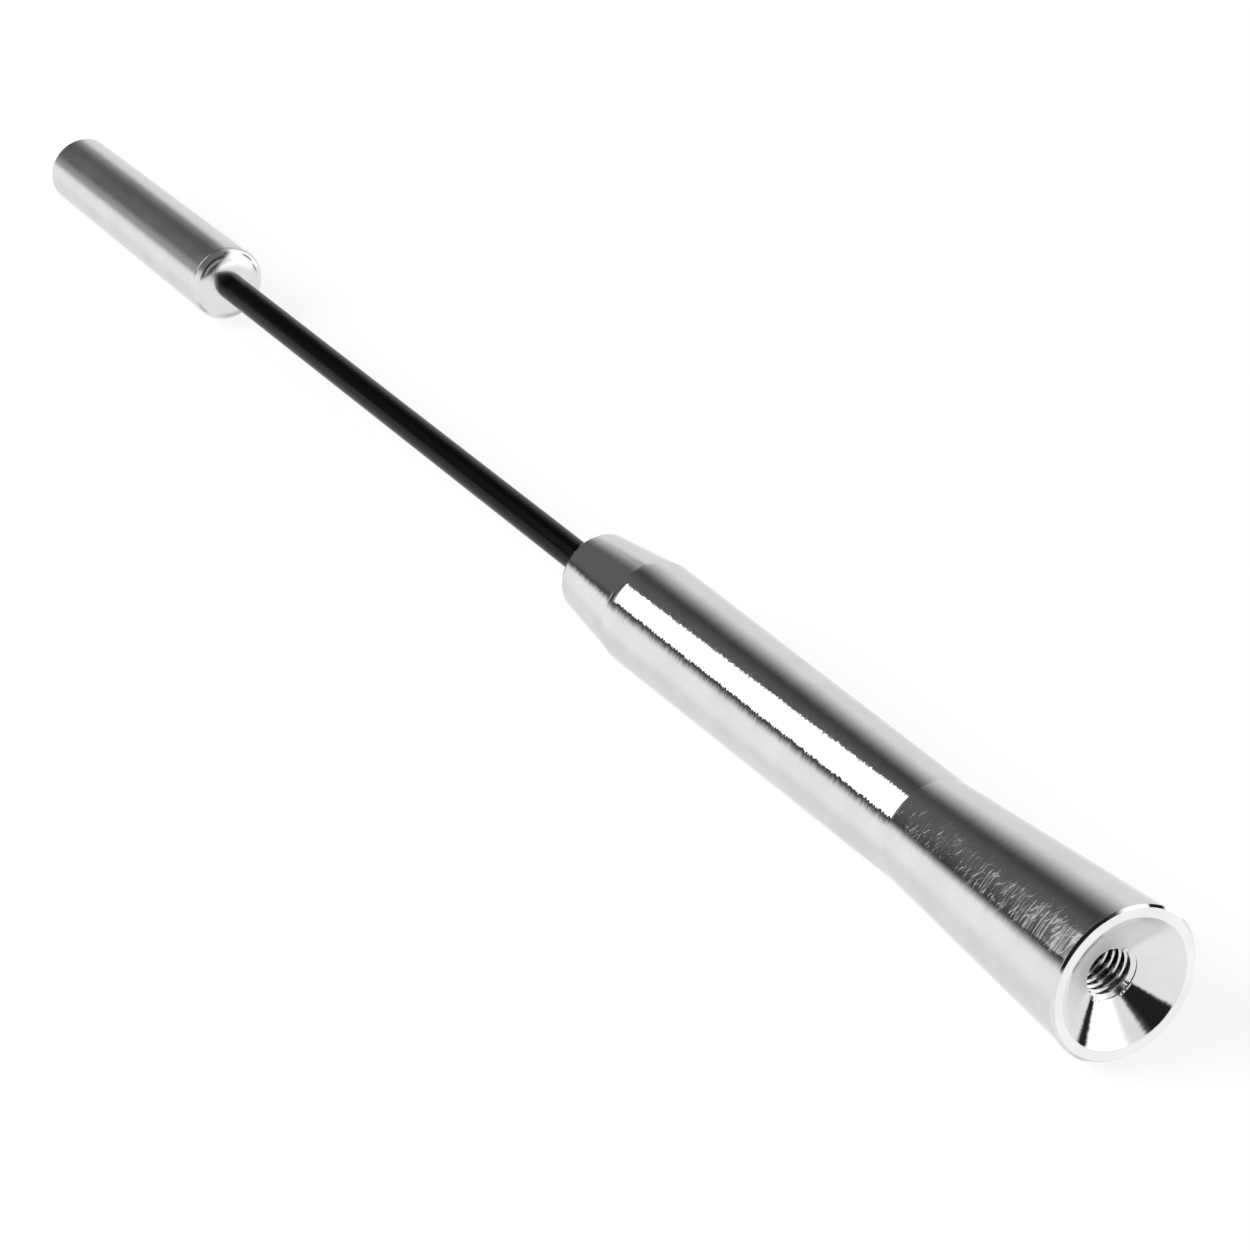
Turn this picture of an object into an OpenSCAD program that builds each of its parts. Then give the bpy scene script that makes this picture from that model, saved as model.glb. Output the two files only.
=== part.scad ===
// Screw-on car mast aerial: a turned aluminium handle with a flared foot, a thin black mast
// with its helical winding inside, and a turned aluminium cap on the tip.
// Millimetres, +Z up the mast, origin in the middle of the foot's flat ring.

/* [Foot of the handle] */
// Diameter over the rim of the foot
base_d = 14; // [12:0.1:18]
// Height and width of the small chamfer round the rim
rim_chamfer = 0.25; // [0.1:0.05:0.5]
// Width of the flat ring between the chamfer and the countersink
land_w = 0.85; // [0.4:0.05:1.2]
// Full angle of the countersink
sink_angle = 120; // [90:1:130]
// Wall diameter of the threaded hole, over the thread's crests
thread_d = 4.2; // [3.3:0.05:5]
// Depth of the threaded hole from the flat ring to the end of its wall
thread_depth = 12; // [8:0.5:18]

/* [Body of the handle] */
// Length of the flare
flare_len = 27.5; // [20:0.5:36]
// Length of the grip between the flare and the shoulder
grip_len = 47.5; // [30:0.5:60]
// Length of the nose above the shoulder
nose_len = 10.4; // [7:0.1:16]
// Grip diameter where it meets the flare
grip_low_d = 10.35; // [9:0.05:11.5]
// Grip diameter at the shoulder
grip_top_d = 10.8; // [9.5:0.05:11.5]
// Diameter of the nose at its end, before the edge is rounded
nose_d = 8.5; // [7:0.1:9.4]
// Radius of the round on the nose's end edge
nose_round = 0.85; // [0.3:0.05:1.5]

/* [Mast] */
// Outer diameter of the black sleeve
mast_d = 3; // [2.6:0.05:4]
// Length of mast in view between the handle and the cap
mast_len = 82.6; // [60:0.2:130]
// Wall of the black sleeve
sleeve_wall = 0.35; // [0.25:0.05:0.5]
// Diameter of the winding's copper wire
wire_d = 0.3; // [0.2:0.05:0.4]
// Height that the close-wound foot of the winding takes up
close_len = 20; // [12:1:30]
// Height from turn to turn in the close-wound foot
close_pitch = 1.6; // [1.2:0.1:2.4]
// Height from turn to turn in the open winding above it
open_pitch = 4.5; // [3:0.1:8]

/* [Tip cap] */
// Length of the cap
tip_len = 42; // [25:0.5:60]
// Diameter of the cap at its mast end
tip_low_d = 8.3; // [7.5:0.05:10]
// Diameter of the cap at its far end
tip_top_d = 7.8; // [7:0.05:10]
// Radius of the round on the edge that faces the handle
tip_round = 1.5; // [0.5:0.1:2]
// Chamfer on the cap's far edge
tip_chamfer = 0.3; // [0.1:0.05:0.6]

/* [Joints of the pieces] */
// Depth of the mast's socket in the nose
socket_len = 16; // [14:0.5:24]
// Depth of the mast's socket in the cap
tip_socket_len = 12; // [8:0.5:18]
// Length of the brass ferrule at the foot of the mast
ferrule_len = 9; // [7:0.5:11]
// Thickness of the ferrule's closed foot
ferrule_floor = 1.2; // [0.8:0.1:2]
// Depth of the solder cup that takes the winding's first turns
cup_depth = 2; // [1:0.25:3]
// Gap between the mast and the wall of each socket
socket_gap = 0.05; // [0.03:0.01:0.1]
// Gap on each side of the winding's wire, and round the core in the ferrule
wire_gap = 0.05; // [0.05:0.01:0.08]
// Gap between ends that face each other inside the sockets
end_gap = 0.1; // [0.05:0.05:0.2]

/* [Hidden] */

// Full angle of a drill's point, which closes each blind hole
drill_angle = 118;
// Straight stretches that an arc of the outline is drawn with
arc_steps = 10;
// Steps that a turn of the winding is drawn with, and sides of its wire
turn_steps = 10;
wire_sides = 6;
$fn = 96;

// Heights along the aerial
shoulder_z = flare_len + grip_len;
nose_z = shoulder_z + nose_len;
socket_z = nose_z - socket_len;
cap_z = nose_z + mast_len;
cap_socket_z = cap_z + tip_socket_len;
top_z = cap_z + tip_len;

// The countersink, from its mouth on the flat ring down to the threaded hole
sink_d = base_d - 2 * (rim_chamfer + land_w);
sink_depth = (sink_d - thread_d) / 2 / tan(sink_angle / 2);

// The mast from the outside inwards: sleeve, wire with a gap on each side, core
mast_r = mast_d / 2;
winding_space = wire_d + 2 * wire_gap;
sleeve_bore_r = mast_r - sleeve_wall;
core_r = sleeve_bore_r - winding_space;
wire_r = wire_d / 2;
winding_r = core_r + wire_gap + wire_r;

// The ferrule stands near the socket's floor, and carries the core, winding and sleeve
ferrule_z = socket_z + end_gap;
ferrule_top_z = ferrule_z + ferrule_len;
core_z = ferrule_z + ferrule_floor + end_gap;
cup_floor_z = ferrule_top_z - cup_depth;
sleeve_z = ferrule_top_z + end_gap;
mast_top_z = cap_socket_z - end_gap;

// The winding runs from the cup to just under the mast's top
winding_z = cup_floor_z + end_gap + wire_r;
winding_top_z = mast_top_z - end_gap - wire_r;
close_turns = close_len / close_pitch;
open_turns = (winding_top_z - winding_z - close_len) / open_pitch;
winding_steps = floor((close_turns + open_turns) * turn_steps);

// Depth of the cone that a drill leaves under a hole of this radius
function point_depth(r) = r / tan(drill_angle / 2);

// Points of an arc round [cx, cy] from angle a0 to angle a1
function arc(cx, cy, r, a0, a1) = [
    for (i = [0 : arc_steps])
        let (a = a0 + (a1 - a0) * i / arc_steps)
        [cx + r * cos(a), cy + r * sin(a)]
];

// Height of the winding after this many turns
function winding_height(turns) =
    winding_z
    + min(turns, close_turns) * close_pitch
    + max(turns - close_turns, 0) * open_pitch;

// A blind hole with a drill's point: its wall from z0 to z1, its point beyond z1
module blind_hole(r, z0, z1) {
    up = z1 > z0;
    over = up ? -end_gap : end_gap;
    point = up ? point_depth(r) : -point_depth(r);
    rotate_extrude()
        polygon([[0, z0 + over], [r, z0 + over], [r, z1], [0, z1 + point]]);
}

// The countersink, with its cone carried on below the flat ring so that the cut is clean
module countersink() {
    widen = end_gap * tan(sink_angle / 2);
    rotate_extrude()
        polygon([
            [0, -end_gap],
            [sink_d / 2 + widen, -end_gap],
            [thread_d / 2, sink_depth],
            [0, sink_depth]
        ]);
}

// Outline of the handle: rim, flare, grip, shoulder, and nose with its rounded end
module handle_outline() {
    rim_r = base_d / 2;
    nose_r = nose_d / 2;
    polygon(concat(
        [
            [0, 0],
            [rim_r - rim_chamfer, 0],
            [rim_r, rim_chamfer],
            [grip_low_d / 2, flare_len],
            [grip_top_d / 2, shoulder_z]
        ],
        arc(nose_r - nose_round, nose_z - nose_round, nose_round, 0, 90),
        [[0, nose_z]]
    ));
}

module handle() {
    color("silver")
    difference() {
        rotate_extrude() handle_outline();
        countersink();
        blind_hole(thread_d / 2, sink_depth, thread_depth);
        blind_hole(mast_r + socket_gap, nose_z, socket_z);
    }
}

module mast_sleeve() {
    color("#141414")
    difference() {
        translate([0, 0, sleeve_z])
            cylinder(r = mast_r, h = mast_top_z - sleeve_z);
        translate([0, 0, sleeve_z - end_gap])
            cylinder(r = sleeve_bore_r, h = mast_top_z - sleeve_z + 2 * end_gap);
    }
}

module mast_core() {
    color("#d8dcc8")
    translate([0, 0, core_z])
        cylinder(r = core_r, h = mast_top_z - core_z);
}

// The ferrule: a cup for the winding's foot, a bore for the core, and a closed floor
module contact_ferrule() {
    color("#c9a646")
    difference() {
        translate([0, 0, ferrule_z])
            cylinder(r = mast_r, h = ferrule_len);
        translate([0, 0, ferrule_z + ferrule_floor])
            cylinder(r = core_r + wire_gap, h = ferrule_len);
        translate([0, 0, cup_floor_z])
            cylinder(r = sleeve_bore_r, h = cup_depth + end_gap);
    }
}

// The winding: a round wire swept along a helix that opens out above its close-wound foot
module coil_winding() {
    rings = [
        for (i = [0 : winding_steps])
            let (
                turns = i / turn_steps,
                a = 360 * turns,
                z = winding_height(turns)
            )
            for (j = [0 : wire_sides - 1])
                let (
                    b = 360 * j / wire_sides,
                    r = winding_r + wire_r * cos(b)
                )
                [r * cos(a), r * sin(a), z + wire_r * sin(b)]
    ];
    side_faces = [
        for (i = [0 : winding_steps - 1])
            for (j = [0 : wire_sides - 1])
                let (
                    k = (j + 1) % wire_sides,
                    low = i * wire_sides,
                    high = low + wire_sides
                )
                each [[low + j, low + k, high + k], [low + j, high + k, high + j]]
    ];
    first_end = [for (j = [0 : wire_sides - 1]) wire_sides - 1 - j];
    last_end = [for (j = [0 : wire_sides - 1]) winding_steps * wire_sides + j];
    color("#b5652b")
    polyhedron(points = rings, faces = concat(side_faces, [first_end, last_end]));
}

// Outline of the cap: a large round at the mast end, a slight taper, a small far chamfer
module tip_outline() {
    low_r = tip_low_d / 2;
    top_r = tip_top_d / 2;
    polygon(concat(
        [[0, cap_z]],
        arc(low_r - tip_round, cap_z + tip_round, tip_round, -90, 0),
        [
            [top_r, top_z - tip_chamfer],
            [top_r - tip_chamfer, top_z],
            [0, top_z]
        ]
    ));
}

module tip_cap() {
    color("gainsboro")
    difference() {
        rotate_extrude() tip_outline();
        blind_hole(mast_r + socket_gap, cap_z, cap_socket_z);
    }
}

handle();
mast_sleeve();
mast_core();
coil_winding();
contact_ferrule();
tip_cap();
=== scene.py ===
"""Looks of a screw-on car mast aerial: polished turned handle and tip, satin black mast.

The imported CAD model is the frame: metres, +Z up the mast, foot ring at the origin.
Sizes below are in millimetres, and MM turns them to metres.
"""

import math

import bmesh
import bpy
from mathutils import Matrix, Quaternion, Vector, noise


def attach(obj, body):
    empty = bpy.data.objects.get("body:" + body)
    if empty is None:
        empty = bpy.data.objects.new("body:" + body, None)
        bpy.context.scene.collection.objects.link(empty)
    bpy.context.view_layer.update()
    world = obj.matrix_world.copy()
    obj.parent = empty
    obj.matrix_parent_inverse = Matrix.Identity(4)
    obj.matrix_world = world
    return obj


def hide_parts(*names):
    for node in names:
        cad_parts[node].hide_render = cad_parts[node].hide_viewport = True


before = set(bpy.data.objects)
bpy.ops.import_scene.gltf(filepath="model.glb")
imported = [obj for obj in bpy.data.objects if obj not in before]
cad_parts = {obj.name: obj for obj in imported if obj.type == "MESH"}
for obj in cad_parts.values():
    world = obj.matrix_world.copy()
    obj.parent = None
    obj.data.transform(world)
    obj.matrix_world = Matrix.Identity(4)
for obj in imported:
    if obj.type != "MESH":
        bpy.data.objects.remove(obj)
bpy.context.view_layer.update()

MM = 0.001
BODY = "root"
UP = Vector((0, 0, 1))

# Camera: fitted to the rings of the foot and to the mast
CAMERA_PLACE = (-172.953, -175.310, -230.294)
CAMERA_TURN = (0.222254, 0.941569, 0.061735, -0.245438)
CAMERA_LENS = 122.4
CAMERA_SENSOR = 36

# Handle, from the CAD model's values
RIM_R = 7.0
RIM_CHAMFER = 0.25
LAND_R = 5.9
GRIP_LOW_R = 5.175
GRIP_TOP_R = 5.4
FLARE_Z = 27.5
SHOULDER_Z = 75.0
NOSE_Z = 85.4
NOSE_R = 4.148
NOSE_ROUND = 0.76
SOCKET_R = 1.505
SOCKET_Z = 69.4
CONE_SLOPE = math.tan(math.radians(60))
POINT_SLOPE = math.tan(math.radians(59))
EDGE_BREAK = 0.06
# The grip's last stretch turns in by this much, which ends the reflections on it
EASED_LEN = 0.65
EASED_IN = 0.014
EASED_Z = SHOULDER_Z - EASED_LEN
EASED_R = GRIP_TOP_R - (GRIP_TOP_R - GRIP_LOW_R) * EASED_LEN / (SHOULDER_Z - FLARE_Z)

# Stud thread, M5 x 0.8, right-handed
PITCH = 0.8
CREST_R = 2.1
ROOT_R = 2.5
CREST_FLAT = 0.2
FLANK = 0.231
DRILL_R = 2.05
DRILL_Z = 12.0
SINK_DEPTH = (LAND_R - DRILL_R) / CONE_SLOPE
THREAD_LOW = -0.9
THREAD_TURNS = 15
THREAD_STEPS = 120
BURR = 0.3
BURR_SCALE = 5000
BURR_SPREAD = 700
BURR_Z = 1.94

# Mast sleeve and tip cap
SLEEVE_R = 1.5
SLEEVE_BORE_R = 1.15
SLEEVE_LOW = 78.6
SLEEVE_TOP = 179.9
CAP_Z = 168.0
CAP_SOCKET_Z = 180.0
TOP_Z = 210.0
CAP_LOW_R = 4.15
CAP_TOP_R = 3.9
CAP_ROUND = 1.5
CAP_CROWN = 2.2
CAP_CHAMFER = 0.3

# Steps round a turned piece, and the least angle that stays a crisp edge
TURN_STEPS = 256
CRISP = math.radians(3.8)


def linear(code):
    """An sRGB hex colour as linear red, green, blue and alpha."""
    parts = [int(code[i:i + 2], 16) / 255 for i in (1, 3, 5)]
    return [c / 12.92 if c <= 0.04045 else ((c + 0.055) / 1.055) ** 2.4 for c in parts] + [1]


def add(tree, kind, sockets=None, **settings):
    """Adds a node, with its settings, and with a link or a value for each named socket."""
    made = tree.nodes.new(kind)
    for name, value in settings.items():
        setattr(made, name, value)
    for name, value in (sockets or {}).items():
        if isinstance(value, bpy.types.NodeSocket):
            tree.links.new(value, made.inputs[name])
        else:
            made.inputs[name].default_value = value
    return made


def new_material(name):
    """An empty node material with its output and a Principled shader."""
    made = bpy.data.materials.new(name)
    made.use_nodes = True
    made.node_tree.nodes.clear()
    shader = add(made.node_tree, "ShaderNodeBsdfPrincipled")
    add(made.node_tree, "ShaderNodeOutputMaterial", {"Surface": shader.outputs[0]})
    return made, made.node_tree, shader


# Meshes

def outline(bm, corners):
    """Joins corners, given as radius and height, by edges."""
    verts = [bm.verts.new((r * MM, 0, z * MM)) for r, z in corners]
    return verts, [bm.edges.new(pair) for pair in zip(verts, verts[1:])]


def turned(corners, closed=False):
    """A solid turned round the mast's axis from its outline."""
    bm = bmesh.new()
    verts, edges = outline(bm, corners)
    if closed:
        edges.append(bm.edges.new((verts[-1], verts[0])))
    bmesh.ops.spin(
        bm, geom=verts + edges, cent=(0, 0, 0), axis=UP, angle=math.tau,
        steps=TURN_STEPS, use_merge=True,
    )
    bmesh.ops.remove_doubles(bm, verts=bm.verts, dist=1e-7)
    bmesh.ops.recalc_face_normals(bm, faces=bm.faces)
    return bm


def ring_edges(bm, r, z):
    """The edges of the ring at this radius and height."""
    def on_ring(v):
        return abs(v.co.z - z * MM) < 2e-6 and abs(v.co.xy.length - r * MM) < 2e-6
    return [e for e in bm.edges if all(on_ring(v) for v in e.verts)]


def ease(bm, r, z, offset, segments):
    """Rounds the ring's edge."""
    bmesh.ops.bevel(
        bm, geom=ring_edges(bm, r, z), offset=offset * MM, segments=segments,
        profile=0.5, affect="EDGES", material=-1,
    )


def cut_ring(bm, z):
    """Adds a ring of vertices at a height, which holds the shading on each side of an edge."""
    bmesh.ops.bisect_plane(
        bm, geom=bm.verts[:] + bm.edges[:] + bm.faces[:], dist=1e-9,
        plane_co=(0, 0, z * MM), plane_no=UP,
    )


def as_object(bm, name):
    """Turns a bmesh into a smooth object whose edges above the crisp angle stay sharp."""
    mesh = bpy.data.meshes.new(name)
    bm.to_mesh(mesh)
    bm.free()
    mesh.shade_smooth()
    mesh.set_sharp_from_angle(angle=CRISP)
    made = bpy.data.objects.new(name, mesh)
    bpy.context.scene.collection.objects.link(made)
    return made


def dress(piece, material, node):
    """Gives a piece its material and its body, and hides the CAD node that it stands for."""
    piece.data.materials.append(material)
    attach(piece, BODY)
    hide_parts(node)


def thread_tap():
    """The screw-shaped solid that cuts the stud thread."""
    bm = bmesh.new()
    root_flat = PITCH - CREST_FLAT - 2 * FLANK
    heights = [0, CREST_FLAT, CREST_FLAT + FLANK, CREST_FLAT + FLANK + root_flat, PITCH]
    radii = [CREST_R, CREST_R, ROOT_R, ROOT_R, CREST_R]
    verts, edges = outline(bm, [(r, z + THREAD_LOW) for r, z in zip(radii, heights)])
    bmesh.ops.spin(
        bm, geom=verts + edges, cent=(0, 0, 0), axis=UP, angle=math.tau * THREAD_TURNS,
        steps=THREAD_STEPS * THREAD_TURNS, dvec=UP * PITCH * MM / THREAD_STEPS,
    )
    bmesh.ops.remove_doubles(bm, verts=bm.verts, dist=1e-7)
    ends = bmesh.ops.holes_fill(bm, edges=[e for e in bm.edges if e.is_boundary], sides=0)
    bmesh.ops.poke(bm, faces=ends["faces"])
    bmesh.ops.recalc_face_normals(bm, faces=bm.faces)
    return as_object(bm, "thread_tap")


def cut_away(piece, tool):
    """Cuts a tool's solid out of a piece, and removes the tool."""
    cut = piece.modifiers.new("cut", "BOOLEAN")
    cut.operation = "DIFFERENCE"
    cut.solver = "EXACT"
    cut.object = tool
    graph = bpy.context.evaluated_depsgraph_get()
    mesh = bpy.data.meshes.new_from_object(piece.evaluated_get(graph))
    piece.modifiers.remove(cut)
    piece.data = mesh
    bpy.data.objects.remove(tool)


def make_handle():
    """The handle: countersunk foot with its thread, flare, grip, shoulder and nose."""
    bm = turned([
        (0, DRILL_Z + DRILL_R / POINT_SLOPE),
        (DRILL_R, DRILL_Z),
        (DRILL_R, SINK_DEPTH),
        (LAND_R, 0),
        (RIM_R - RIM_CHAMFER, 0),
        (RIM_R, RIM_CHAMFER),
        (GRIP_LOW_R, FLARE_Z),
        (EASED_R, EASED_Z),
        (GRIP_TOP_R - EASED_IN, SHOULDER_Z),
        (NOSE_R, NOSE_Z),
        (SOCKET_R, NOSE_Z),
        (SOCKET_R, SOCKET_Z),
        (0, SOCKET_Z - SOCKET_R / POINT_SLOPE),
    ])
    ease(bm, NOSE_R, NOSE_Z, NOSE_ROUND, 28)
    ease(bm, GRIP_TOP_R - EASED_IN, SHOULDER_Z, 2 * EDGE_BREAK, 4)
    ease(bm, EASED_R, EASED_Z, EDGE_BREAK, 3)
    ease(bm, LAND_R, 0, EDGE_BREAK, 3)
    ease(bm, RIM_R - RIM_CHAMFER, 0, EDGE_BREAK / 2, 3)
    ease(bm, RIM_R, RIM_CHAMFER, EDGE_BREAK / 2, 3)
    for z in (
        RIM_CHAMFER + 0.1, BURR_Z - 0.05, BURR_Z - 0.01, EASED_Z - 0.15, EASED_Z + 0.15, SHOULDER_Z - 0.2,
        SHOULDER_Z + 0.2, NOSE_Z - NOSE_ROUND - 0.1,
    ):
        cut_ring(bm, z)
    handle = as_object(bm, "turned_handle")
    cut_away(handle, thread_tap())
    # Torn burrs where the thread runs out into the countersink
    for v in handle.data.vertices:
        if CREST_R - 0.1 < v.co.xy.length / MM < ROOT_R + 0.05 and v.co.z / MM > BURR_Z:
            torn = BURR if v.co.z / MM < SINK_DEPTH + 0.1 else 0
            torn *= max(noise.noise(v.co * BURR_SPREAD), 0)
            v.co += noise.noise_vector(v.co * BURR_SCALE) * torn * MM
    handle.data.shade_smooth()
    handle.data.set_sharp_from_angle(angle=CRISP)
    return handle


def crowned_end(steps):
    """The cap's end toward the handle, as a superellipse: slightly domed, then a large round."""
    curve = []
    for i in range(steps + 1):
        turn = math.pi / 2 * i / steps
        across = math.sin(turn) ** (2 / CAP_CROWN)
        rise = 1 - math.cos(turn) ** (2 / CAP_CROWN)
        curve.append((SOCKET_R + (CAP_LOW_R - SOCKET_R) * across, CAP_Z + CAP_ROUND * rise))
    return curve


def make_cap():
    """The tip cap: a large round at the mast end, a slight taper, a small far chamfer."""
    bm = turned([
        (0, CAP_SOCKET_Z + SOCKET_R / POINT_SLOPE),
        (SOCKET_R, CAP_SOCKET_Z),
        *crowned_end(40),
        (CAP_TOP_R, TOP_Z - CAP_CHAMFER),
        (CAP_TOP_R - CAP_CHAMFER, TOP_Z),
        (0, TOP_Z),
    ])
    ease(bm, CAP_TOP_R, TOP_Z - CAP_CHAMFER, EDGE_BREAK, 3)
    ease(bm, CAP_TOP_R - CAP_CHAMFER, TOP_Z, EDGE_BREAK, 3)
    for z in (CAP_Z + CAP_ROUND + 0.1, TOP_Z - CAP_CHAMFER - 0.1):
        cut_ring(bm, z)
    return as_object(bm, "turned_tip_cap")


def make_sleeve():
    """The black sleeve over the winding."""
    bm = turned([
        (SLEEVE_BORE_R, SLEEVE_LOW),
        (SLEEVE_R, SLEEVE_LOW),
        (SLEEVE_R, SLEEVE_TOP),
        (SLEEVE_BORE_R, SLEEVE_TOP),
    ], closed=True)
    ease(bm, SLEEVE_R, SLEEVE_LOW, EDGE_BREAK, 3)
    ease(bm, SLEEVE_R, SLEEVE_TOP, EDGE_BREAK, 3)
    return as_object(bm, "shrunk_sleeve")


# Materials

# How far a ring's face leans, as a share of its length: along the body's surface, along the
# countersink's, and round the axis above the flare and on it
RING_LEAN = 0.002
SINK_LEAN = 0.012
ROUND_LEAN = 0.04
CAP_ROUND_LEAN = 0.03
RUBBED_LEAN = 0.13
# How far the torn metal round the thread's mouth leans, any way, and how wide it is
TORN_LEAN = 0.25
TORN_WIDTH = 0.12
# Roughness of the handle's polish and of the tip cap's, and what is added to it: in a dull
# ring, on the flare, on a scratch, in the countersink, on its scuffed side and in the thread
POLISH = (0.02, 0.045)
SATIN = (0.14, 0.22)
DULL_RING = 0.1
FLARE_ROUGH = 0.015
SCRATCHED = 0.14
# The side on which the handle is rubbed and the countersink is scuffed, and how far the
# scratches slope from the rings
WORN_SIDE = (-0.669, -0.743, 0)
SCRATCH_SLOPE = math.radians(36)
SINK_ROUGH = 0.03
SCUFFED = 0.42
THREAD_ROUGH = 0.06


def turned_aluminium(name, polish, dull_ring, round_lean, rubbed_lean):
    """Aluminium, turned and polished: mirror-bright, with fine rings that fray reflections."""
    material, tree, shader = new_material(name)
    place = add(tree, "ShaderNodeTexCoord").outputs["Object"]
    spot = add(tree, "ShaderNodeSeparateXYZ", {"Vector": place})
    height = spot.outputs["Z"]
    flat = add(tree, "ShaderNodeVectorMath", {0: place, 1: (1, 1, 0)}, operation="MULTIPLY")
    radius = add(
        tree, "ShaderNodeVectorMath", {0: flat.outputs[0]}, operation="LENGTH"
    ).outputs["Value"]
    # Counts the tool's rings along any face: height less a share of the radius
    ring = add(tree, "ShaderNodeMath", {0: radius, 1: -1.7, 2: height}, operation="MULTIPLY_ADD")
    along = add(
        tree, "ShaderNodeCombineXYZ",
        {"X": spot.outputs["X"], "Y": spot.outputs["Y"], "Z": ring.outputs[0]},
    )
    # Rings of the cutting tool, each a little off true
    rings = add(tree, "ShaderNodeMapping", {"Vector": along.outputs[0], "Scale": (250, 250, 4500)})
    ring_noise = add(
        tree, "ShaderNodeTexNoise", {"Vector": rings.outputs[0], "Scale": 1.0, "Detail": 2.0}
    )
    # Scratches that slope across the rings, 0.15 mm wide and about 0.6 mm long
    sloped = add(
        tree, "ShaderNodeVectorRotate",
        {"Vector": place, "Axis": WORN_SIDE, "Angle": SCRATCH_SLOPE},
    )
    lines = add(
        tree, "ShaderNodeMapping", {"Vector": sloped.outputs[0], "Scale": (900, 900, 6500)}
    )
    line_noise = add(
        tree, "ShaderNodeTexNoise", {"Vector": lines.outputs[0], "Scale": 1.0, "Detail": 0.0}
    )
    breaks = add(tree, "ShaderNodeTexNoise", {"Vector": place, "Scale": 3000.0, "Detail": 0.0})
    # Wear of the polish: patches a few millimetres wide
    patches = add(tree, "ShaderNodeTexNoise", {"Vector": place, "Scale": 260.0, "Detail": 3.0})
    # The countersink and the thread are left as cut, and only the flare is scratched
    in_sink_depth, in_foot, in_sink_width, in_hole_width, on_flare = (
        add(tree, "ShaderNodeMath", {0: value, 1: limit * MM}, operation="LESS_THAN").outputs[0]
        for value, limit in (
            (height, SINK_DEPTH + 0.1), (height, 2 * DRILL_Z), (radius, LAND_R - 0.05),
            (radius, ROOT_R + 0.1), (height, FLARE_Z),
        )
    )
    sink = add(
        tree, "ShaderNodeMath", {0: in_sink_depth, 1: in_sink_width}, operation="MULTIPLY"
    ).outputs[0]
    hole = add(
        tree, "ShaderNodeMath", {0: in_foot, 1: in_hole_width}, operation="MULTIPLY"
    ).outputs[0]
    lean = add(
        tree, "ShaderNodeMapRange", {"Value": sink, "To Min": RING_LEAN, "To Max": SINK_LEAN}
    )
    # Scratches show where lines, breaks and patches add up to more than this, most at the foot
    worn = add(
        tree, "ShaderNodeMapRange",
        {"Value": height, "From Max": FLARE_Z * MM, "To Min": 0.965, "To Max": 0.95},
    )
    broken = add(
        tree, "ShaderNodeMath", {0: breaks.outputs[0], 1: 0.45, 2: line_noise.outputs[0]},
        operation="MULTIPLY_ADD",
    )
    patchy = add(
        tree, "ShaderNodeMath", {0: patches.outputs[0], 1: 0.3, 2: broken.outputs[0]},
        operation="MULTIPLY_ADD",
    )
    past_worn = add(
        tree, "ShaderNodeMath", {0: patchy.outputs[0], 1: worn.outputs[0]}, operation="SUBTRACT"
    )
    line_rough = add(
        tree, "ShaderNodeMapRange",
        {
            "Value": past_worn.outputs[0], "From Max": 0.3,
            "To Min": FLARE_ROUGH, "To Max": SCRATCHED,
        },
        interpolation_type="SMOOTHSTEP",
    )
    # Each ring leans round the axis and along the surface
    leans = add(
        tree, "ShaderNodeVectorMath", {0: ring_noise.outputs["Color"], 1: (0.5, 0.5, 0.5)},
        operation="SUBTRACT",
    )
    lean_xyz = add(tree, "ShaderNodeSeparateXYZ", {"Vector": leans.outputs[0]})
    worn_way = add(
        tree, "ShaderNodeVectorMath", {0: place, 1: WORN_SIDE}, operation="DOT_PRODUCT"
    ).outputs["Value"]
    worn_share = add(
        tree, "ShaderNodeMath", {0: worn_way, 1: radius}, operation="DIVIDE"
    )
    above_flare = add(tree, "ShaderNodeMath", {0: 1.0, 1: on_flare}, operation="SUBTRACT")
    rubbed = add(
        tree, "ShaderNodeMapRange",
        {
            "Value": worn_share.outputs[0], "From Min": 0.89, "From Max": 0.955,
            "To Max": rubbed_lean - round_lean,
        },
        interpolation_type="SMOOTHSTEP",
    )
    round_share = add(
        tree, "ShaderNodeMath", {0: rubbed.outputs[0], 1: above_flare.outputs[0], 2: round_lean},
        operation="MULTIPLY_ADD",
    )
    lean_round = add(
        tree, "ShaderNodeMath", {0: lean_xyz.outputs["X"], 1: round_share.outputs[0]},
        operation="MULTIPLY",
    )
    lean_along = add(
        tree, "ShaderNodeMath", {0: lean_xyz.outputs["Y"], 1: lean.outputs[0]}, operation="MULTIPLY"
    )
    round_axis = add(
        tree, "ShaderNodeVectorMath", {0: tuple(UP), 1: place}, operation="CROSS_PRODUCT"
    )
    round_way = add(tree, "ShaderNodeVectorMath", {0: round_axis.outputs[0]}, operation="NORMALIZE")
    facing = add(tree, "ShaderNodeNewGeometry").outputs["Normal"]
    along_way = add(
        tree, "ShaderNodeVectorMath", {0: facing, 1: round_way.outputs[0]}, operation="CROSS_PRODUCT"
    )
    turned_round = add(
        tree, "ShaderNodeVectorMath", {0: round_way.outputs[0], "Scale": lean_round.outputs[0]},
        operation="SCALE",
    )
    turned_along = add(
        tree, "ShaderNodeVectorMath", {0: along_way.outputs[0], "Scale": lean_along.outputs[0]},
        operation="SCALE",
    )
    both = add(
        tree, "ShaderNodeVectorMath", {0: turned_round.outputs[0], 1: turned_along.outputs[0]},
        operation="ADD",
    )
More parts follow.
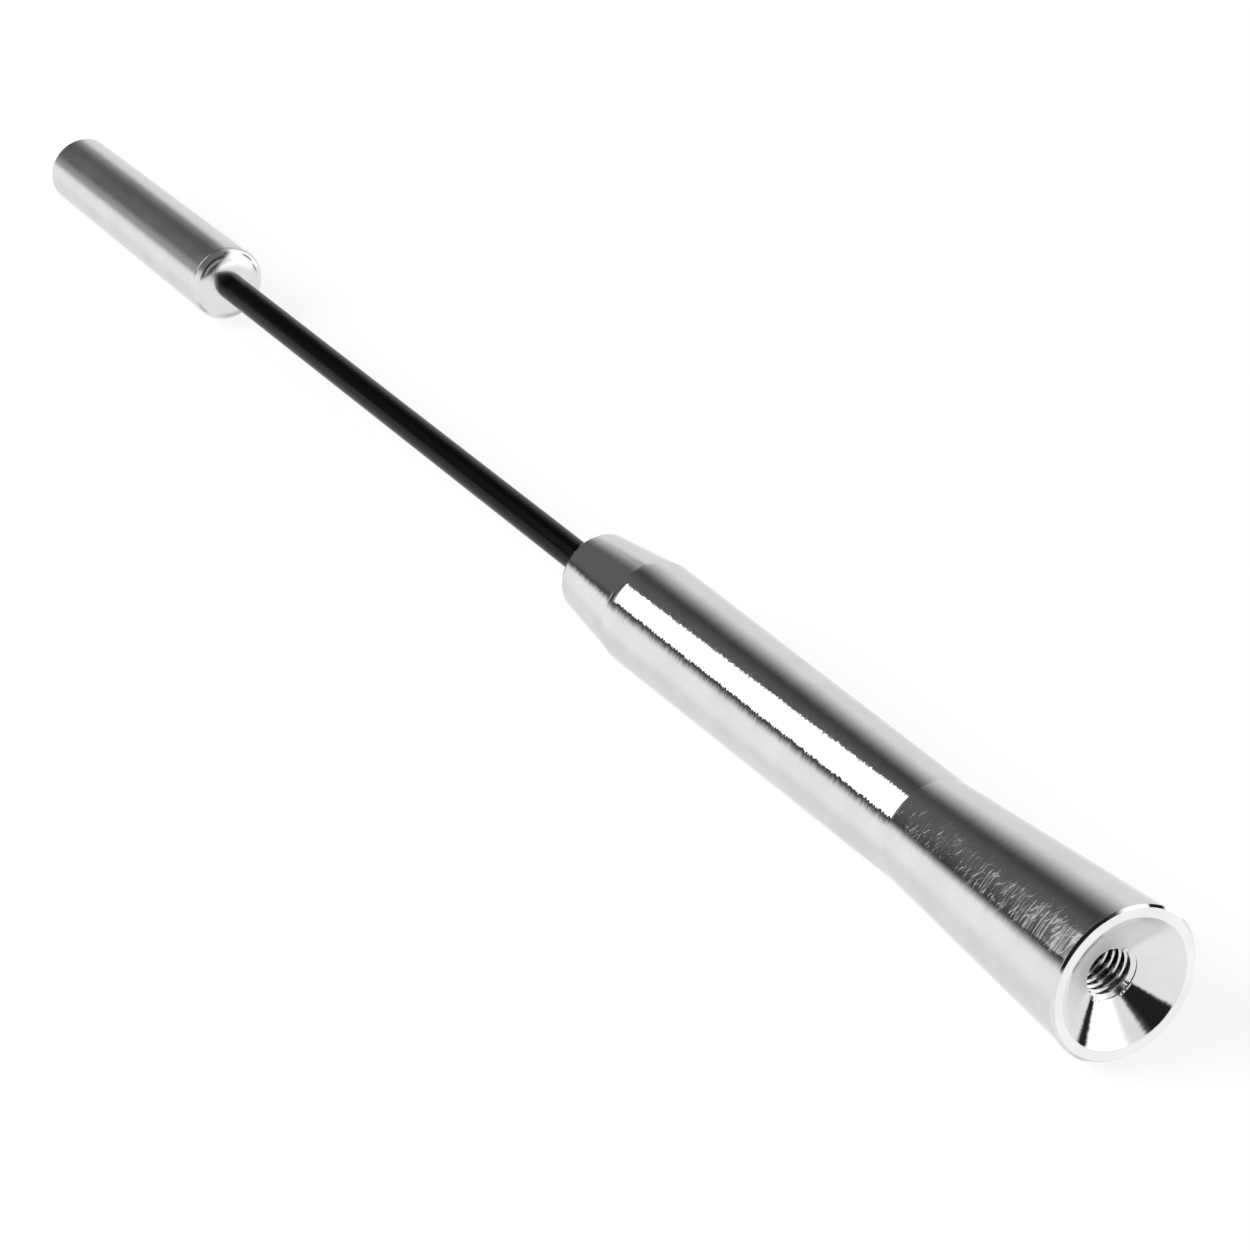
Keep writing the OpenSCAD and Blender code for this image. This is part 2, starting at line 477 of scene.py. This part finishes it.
    # Torn metal round the thread's mouth
    tears = add(tree, "ShaderNodeTexNoise", {"Vector": place, "Scale": 8000.0, "Detail": 1.0})
    tear_leans = add(
        tree, "ShaderNodeVectorMath", {0: tears.outputs["Color"], 1: (0.5, 0.5, 0.5)},
        operation="SUBTRACT",
    )
    off_mouth = add(
        tree, "ShaderNodeMath",
        {0: add(tree, "ShaderNodeMath", {0: radius, 1: ROOT_R * MM}, operation="SUBTRACT").outputs[0]},
        operation="ABSOLUTE",
    )
    near_mouth = add(
        tree, "ShaderNodeMapRange",
        {
            "Value": off_mouth.outputs[0], "From Max": TORN_WIDTH * MM,
            "To Min": TORN_LEAN, "To Max": 0.0,
        },
    )
    torn = add(
        tree, "ShaderNodeMath", {0: near_mouth.outputs[0], 1: sink}, operation="MULTIPLY"
    )
    torn_lean = add(
        tree, "ShaderNodeVectorMath", {0: tear_leans.outputs[0], "Scale": torn.outputs[0]},
        operation="SCALE",
    )
    rings_and_tears = add(
        tree, "ShaderNodeVectorMath", {0: both.outputs[0], 1: torn_lean.outputs[0]}, operation="ADD"
    )
    leaning = add(
        tree, "ShaderNodeVectorMath", {0: facing, 1: rings_and_tears.outputs[0]}, operation="ADD"
    )
    normal = add(tree, "ShaderNodeVectorMath", {0: leaning.outputs[0]}, operation="NORMALIZE")
    rough = add(
        tree, "ShaderNodeMapRange",
        {"Value": patches.outputs[0], "To Min": polish[0], "To Max": polish[1]},
    ).outputs[0]
    dull = add(
        tree, "ShaderNodeMapRange",
        {"Value": ring_noise.outputs["Fac"], "From Min": 0.5, "From Max": 0.7, "To Max": dull_ring},
    )
    off_sink = add(tree, "ShaderNodeMath", {0: 1.0, 1: sink}, operation="SUBTRACT")
    above_ring = add(
        tree, "ShaderNodeMath", {0: height, 1: RIM_CHAMFER * MM}, operation="GREATER_THAN"
    )
    outside = add(
        tree, "ShaderNodeMath", {0: off_sink.outputs[0], 1: above_ring.outputs[0]},
        operation="MULTIPLY",
    )
    scratchable = add(
        tree, "ShaderNodeMath", {0: outside.outputs[0], 1: on_flare}, operation="MULTIPLY"
    )
    # The countersink is scuffed on one side, next to the thread's mouth
    scuff = sink
    for value, outer, inner in ((worn_way, 0.2, 1.5), (radius, 5.9, 4.8)):
        side = add(
            tree, "ShaderNodeMapRange",
            {"Value": value, "From Min": outer * MM, "From Max": inner * MM},
            interpolation_type="SMOOTHSTEP",
        )
        scuff = add(
            tree, "ShaderNodeMath", {0: scuff, 1: side.outputs[0]}, operation="MULTIPLY"
        ).outputs[0]
    for mask, more in (
        (dull.outputs[0], off_sink.outputs[0]), (sink, SINK_ROUGH), (scuff, SCUFFED),
        (hole, THREAD_ROUGH),
        (line_rough.outputs[0], scratchable.outputs[0]),
    ):
        rough = add(
            tree, "ShaderNodeMath", {0: mask, 1: more, 2: rough}, operation="MULTIPLY_ADD"
        ).outputs[0]
    # A faint bloom of oxide: paler and darker patches
    bloom = add(
        tree, "ShaderNodeMix",
        {"Factor": patches.outputs[0], "A": linear("#DCDCDC"), "B": linear("#F4F4F4")},
        data_type="RGBA",
    )
    shader.inputs["Metallic"].default_value = 1.0
    tree.links.new(bloom.outputs["Result"], shader.inputs["Base Color"])
    tree.links.new(rough, shader.inputs["Roughness"])
    tree.links.new(normal.outputs[0], shader.inputs["Normal"])
    return material


def black_sleeve():
    """Polyolefin heat-shrink tube: satin black, with the faint waves of its shrinking."""
    material, tree, shader = new_material("black_shrink_tube")
    place = add(tree, "ShaderNodeTexCoord").outputs["Object"]
    waves = add(tree, "ShaderNodeMapping", {"Vector": place, "Scale": (300, 300, 90)})
    wave_height = add(tree, "ShaderNodeTexNoise", {"Vector": waves.outputs[0], "Scale": 1.0})
    bumps = add(
        tree, "ShaderNodeBump",
        {"Height": wave_height.outputs[0], "Strength": 1.0, "Distance": 1e-5},
    )
    shades = add(
        tree, "ShaderNodeMapRange",
        {"Value": wave_height.outputs[0], "To Min": 0.14, "To Max": 0.2},
    )
    shader.inputs["Base Color"].default_value = linear("#030303")
    shader.inputs["IOR"].default_value = 1.19
    tree.links.new(shades.outputs[0], shader.inputs["Roughness"])
    tree.links.new(bumps.outputs[0], shader.inputs["Normal"])
    return material


def hidden_finish(name, code, metallic, roughness, scale):
    """A finish of the pieces inside the mast: drawn along the axis, with fine lines on it."""
    material, tree, shader = new_material(name)
    place = add(tree, "ShaderNodeTexCoord").outputs["Object"]
    lines = add(tree, "ShaderNodeMapping", {"Vector": place, "Scale": scale})
    line_noise = add(tree, "ShaderNodeTexNoise", {"Vector": lines.outputs[0], "Scale": 1.0})
    rough = add(
        tree, "ShaderNodeMapRange",
        {"Value": line_noise.outputs[0], "To Min": roughness, "To Max": roughness + 0.15},
    )
    bumps = add(
        tree, "ShaderNodeBump",
        {"Height": line_noise.outputs[0], "Strength": 1.0, "Distance": 5e-6},
    )
    shader.inputs["Base Color"].default_value = linear(code)
    shader.inputs["Metallic"].default_value = metallic
    tree.links.new(rough.outputs[0], shader.inputs["Roughness"])
    tree.links.new(bumps.outputs[0], shader.inputs["Normal"])
    return material


def white_table():
    """Matt white table: clips to white for the camera but keeps the soft shadow."""
    material = bpy.data.materials.new("white_table")
    material.use_nodes = True
    tree = material.node_tree
    tree.nodes.clear()
    path = add(tree, "ShaderNodeLightPath")
    side = add(tree, "ShaderNodeNewGeometry")
    lit = add(tree, "ShaderNodeBsdfDiffuse", {"Color": linear("#F4F4F4")})
    glow = add(
        tree, "ShaderNodeEmission",
        {"Color": (1, 1, 1, 1), "Strength": path.outputs["Is Camera Ray"]},
    )
    glow_share = add(tree, "ShaderNodeMixShader", {"Fac": 0.85, 1: lit.outputs[0], 2: glow.outputs[0]})
    behind = add(
        tree, "ShaderNodeMath",
        {0: path.outputs["Is Camera Ray"], 1: side.outputs["Backfacing"]},
        operation="MULTIPLY",
    )
    clear = add(tree, "ShaderNodeBsdfTransparent")
    shown = add(
        tree, "ShaderNodeMixShader",
        {"Fac": behind.outputs[0], 1: glow_share.outputs[0], 2: clear.outputs[0]},
    )
    add(tree, "ShaderNodeOutputMaterial", {"Surface": shown.outputs[0]})
    return material


# Studio

# What polished metal sees, from the base level up, each as: longitude range in degrees, height
# range, edge widths, level. Longitude 0 is straight up from the table, +90 is +X and -90 is -X;
# height is the direction's Z.
BASE_LEVEL = 0.92
PANELS = {
    "upper": ((-400, 400), (0.45, 3), (1, 0.2), 0.81),
    "behind": ((-176, -130), (-0.22, 0.42), (20, 0.2), 0.5),
    "left_bright": ((-145, -70), (0.6, 3), (30, 0.1), 0.93),
    "room": ((-91, 70), (-3, 3), (20, 0.1), 0.058),
    "low_haze": ((-78, 20), (-0.6, 0.6), (10, 0.08), 0.15),
    "low_left": ((-120, -50), (-0.6, 0.6), (28, 0.1), 0.92),
    "high_haze": ((-76, 70), (0.76, 3), (20, 0.16), 0.12),
    "room_glow": ((-66, 10), (0.55, 0.86), (26, 0.05), 0.11),
    "wall": ((8, 150), (0.2, 3), (56, 0.3), 0.78),
    "right_bright": ((90, 178), (0.15, 3), (42, 0.2), 1.13),
    "dim_middle": ((118, 188), (-0.45, 0.28), (32, 0.15), 0.6),
    "near_card": ((120, 150), (-0.78, -0.58), (6, 0.05), 1.08),
    "low_wall": ((4, 70), (-0.25, 0.64), (26, 0.12), 0.6),
    "side_box": ((20, 106), (-3, 0.35), (14, 0.3), 1.25),
    "right_near": ((94, 112), (-0.66, 0.3), (5, 0.12), 0.88),
    "low_side_box": ((16, 62), (-3, -0.8), (16, 0.07), 0.85),
    "dark_gap": ((57, 82), (-0.38, -0.15), (4, 0.05), 0.015),
    "dark_slot": ((86.5, 101), (-0.465, -0.27), (4, 0.04), 0.015),
    "camera_side": ((-88, 17), (-3, -0.55), (12, 0.08), 0.015),
    "camera_card": ((-80, 16), (-0.93, -0.77), (10, 0.04), 0.34),
    "floor_card": ((-400, 400), (-3, -0.989), (1, 0.004), 0.36),
    "far_dark": ((-400, 400), (0.925, 3), (1, 0.04), 0.045),
    "tip_glow": ((-92, -46), (0.84, 0.895), (22, 0.02), 0.55),
    "tip_shade": ((10, 52), (0.845, 0.885), (18, 0.01), 0.12),
    "softbox": ((-69, -25), (0.69, 0.7812), (1.5, 0.001), 1.5),
}
# The softbox stands askew: its right edge moves by this many degrees per unit of height
SOFTBOX_SLANT = 200
SOFTBOX_TOP = 0.77


def studio_world():
    """White for the camera, a plain level for matt surfaces, and soft panels for gloss."""
    world = bpy.data.worlds.new("studio")
    bpy.context.scene.world = world
    world.use_nodes = True
    tree = world.node_tree
    tree.nodes.clear()
    direction = add(
        tree, "ShaderNodeSeparateXYZ", {"Vector": add(tree, "ShaderNodeTexCoord").outputs["Generated"]}
    )
    x, y, z = direction.outputs
    above = add(tree, "ShaderNodeMath", {0: y, 1: -1.0}, operation="MULTIPLY").outputs[0]
    turn = add(tree, "ShaderNodeMath", {0: x, 1: above}, operation="ARCTAN2").outputs[0]
    longitude = add(tree, "ShaderNodeMath", {0: turn}, operation="DEGREES").outputs[0]
    over_top = add(tree, "ShaderNodeMath", {0: z, 1: SOFTBOX_TOP}, operation="SUBTRACT").outputs[0]
    slanted = add(
        tree, "ShaderNodeMath", {0: over_top, 1: SOFTBOX_SLANT, 2: longitude},
        operation="MULTIPLY_ADD",
    ).outputs[0]
    level = BASE_LEVEL
    for name, ((left, right), (low, high), (side, end), strength) in PANELS.items():
        mask = 1.0
        for value, outer, inner in (
            (longitude, left, left + side),
            (slanted if name == "softbox" else longitude, right, right - side),
            (z, low, low + end),
            (z, high, high - end),
        ):
            ramp = add(
                tree, "ShaderNodeMapRange", {"Value": value, "From Min": outer, "From Max": inner},
                interpolation_type="SMOOTHSTEP",
            ).outputs[0]
            mask = add(tree, "ShaderNodeMath", {0: mask, 1: ramp}, operation="MULTIPLY").outputs[0]
        level = add(
            tree, "ShaderNodeMix", {"Factor": mask, "A": level, "B": strength}, data_type="FLOAT"
        ).outputs[0]
    path = add(tree, "ShaderNodeLightPath")
    gloss = add(
        tree, "ShaderNodeMath",
        {0: path.outputs["Is Glossy Ray"], 1: path.outputs["Is Transmission Ray"]},
        operation="MAXIMUM",
    )
    plain = add(
        tree, "ShaderNodeMix",
        {"Factor": gloss.outputs[0], "A": PLAIN_LEVEL, "B": level}, data_type="FLOAT",
    )
    shown = add(
        tree, "ShaderNodeMix",
        {"Factor": path.outputs["Is Camera Ray"], "A": plain.outputs[0], "B": 1.0},
        data_type="FLOAT",
    )
    back = add(tree, "ShaderNodeBackground", {"Color": (1, 1, 1, 1), "Strength": shown.outputs[0]})
    add(tree, "ShaderNodeOutputWorld", {"Surface": back.outputs[0]})
    world.cycles.sampling_method = "NONE"


PLAIN_LEVEL = 0.55
KEY_LEVEL = 3.6
KEY_SPREAD = math.radians(40)
KEY_FROM = (-0.75, -0.6, 0.3)


def key_lamp():
    """One broad soft lamp over the table, kept out of the mirror-bright metal."""
    lamp = bpy.data.lights.new("key", "SUN")
    lamp.energy = KEY_LEVEL
    lamp.angle = KEY_SPREAD
    made = bpy.data.objects.new("key", lamp)
    made.rotation_mode = "QUATERNION"
    made.rotation_quaternion = Vector(KEY_FROM).to_track_quat("Z", "Y")
    made.visible_glossy = False
    bpy.context.scene.collection.objects.link(made)


def table_top():
    """The table: it touches the foot's rim and the cap's far edge from behind."""
    bm = bmesh.new()
    bmesh.ops.create_grid(bm, x_segments=1, y_segments=1, size=TABLE_HALF)
    foot = Vector((0, RIM_R, RIM_CHAMFER)) * MM
    tip = Vector((0, CAP_TOP_R, TOP_Z - CAP_CHAMFER)) * MM
    along = (tip - foot).normalized()
    facing = Vector((1, 0, 0)).cross(along)
    bmesh.ops.rotate(bm, verts=bm.verts, cent=(0, 0, 0), matrix=UP.rotation_difference(facing).to_matrix())
    bmesh.ops.translate(bm, verts=bm.verts, vec=foot)
    table = as_object(bm, "table_top")
    table.data.materials.append(white_table())
    table.visible_glossy = False


TABLE_HALF = 3.0


def photo_camera():
    """The camera at the photograph's viewing angle."""
    lens = bpy.data.cameras.new("camera")
    lens.lens = CAMERA_LENS
    lens.sensor_width = CAMERA_SENSOR
    lens.clip_start = 0.01
    made = bpy.data.objects.new("camera", lens)
    made.location = Vector(CAMERA_PLACE) * MM
    made.rotation_mode = "QUATERNION"
    made.rotation_quaternion = Quaternion(CAMERA_TURN)
    bpy.context.scene.collection.objects.link(made)
    bpy.context.scene.camera = made


photo_camera()
studio_world()
key_lamp()
table_top()
bpy.context.scene.view_settings.view_transform = "Standard"

polished = turned_aluminium("polished_turned_aluminium", POLISH, DULL_RING, ROUND_LEAN, RUBBED_LEAN)
satin = turned_aluminium(
    "satin_turned_aluminium", SATIN, 0.0, CAP_ROUND_LEAN, CAP_ROUND_LEAN
)
dress(make_handle(), polished, "handle")
dress(make_cap(), satin, "tip_cap")
dress(make_sleeve(), black_sleeve(), "mast_sleeve")

INNER = {
    "mast_core": hidden_finish("glass_fibre_rod", "#D6DABF", 0.0, 0.35, (4000, 4000, 60)),
    "coil_winding": hidden_finish("copper_wire", "#DB9E6A", 1.0, 0.2, (900, 900, 900)),
    "contact_ferrule": hidden_finish("turned_brass", "#D9B95A", 1.0, 0.18, (80, 80, 4000)),
}
for node, material in INNER.items():
    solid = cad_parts[node]
    for place in solid.material_slots:
        place.material = material
